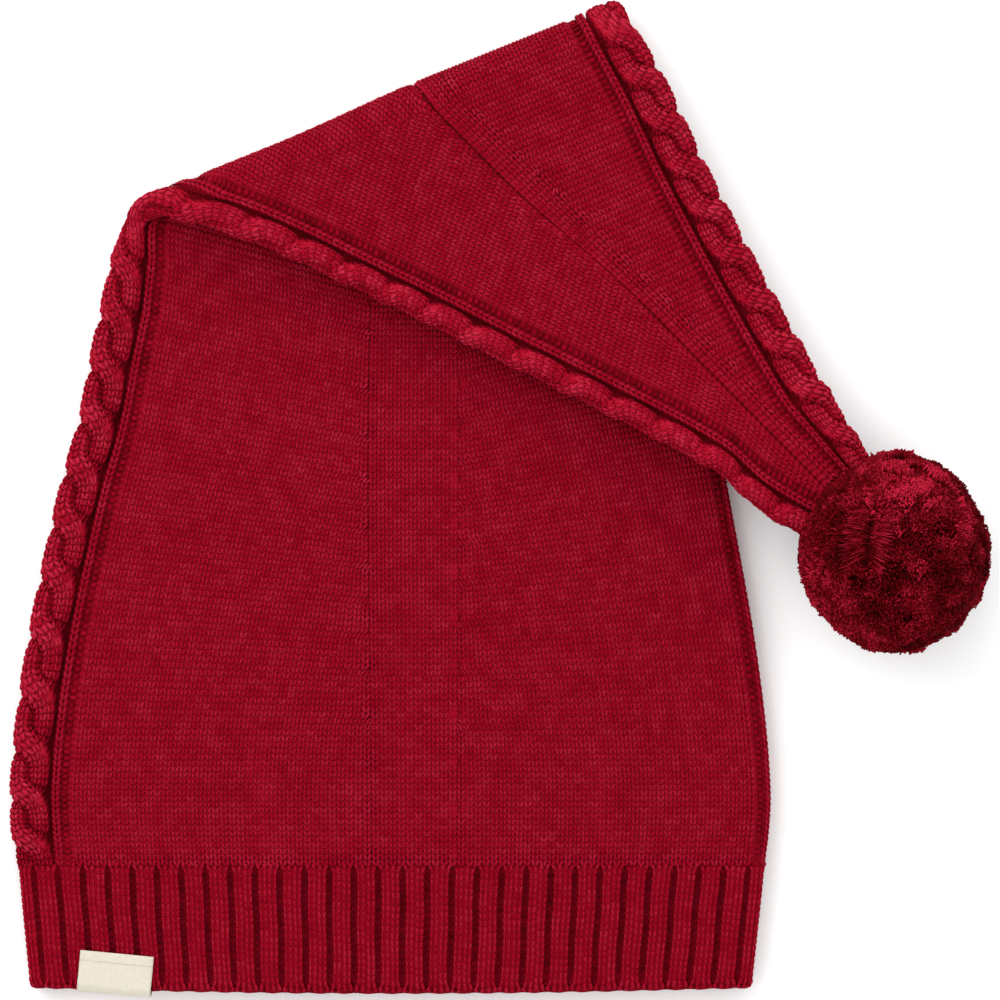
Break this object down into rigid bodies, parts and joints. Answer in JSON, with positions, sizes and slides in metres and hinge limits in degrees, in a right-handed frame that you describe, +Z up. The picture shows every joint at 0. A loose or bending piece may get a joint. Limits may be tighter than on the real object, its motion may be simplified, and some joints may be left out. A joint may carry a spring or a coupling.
{
  "type": "elf hat",
  "caption": "Long knitted elf hat lying flat, tail folded over its front, with ribbed cuff, rope cables up the sides, a pompom and a bare cloth label.",
  "frame": {"origin": "middle of the hat's bounding box, on the surface that it lies on", "axes": "+X to the wearer's left as the hat lies on its back, towards the pompom; +Y from the mouth to the crown; +Z up, out of the front of the hat"},
  "size_m": [0.2832, 0.2898, 0.0528],
  "materials": {
    "plain_knit": "crimson plain knit in soft matt yarn",
    "rib_knit": "crimson ribbed knit",
    "cable_knit": "crimson rope cable knit",
    "pompom_yarn": "deep crimson clipped yarn",
    "label_tape": "cream woven cotton tape, bare"
  },
  "bodies": {
    "root": {"rib_band": "rib_knit", "front_panel": "plain_knit", "back_panel": "plain_knit", "left_cable": "cable_knit", "right_cable": "cable_knit", "pompom": "pompom_yarn", "label": "label_tape"}
  },
  "joints": []
}
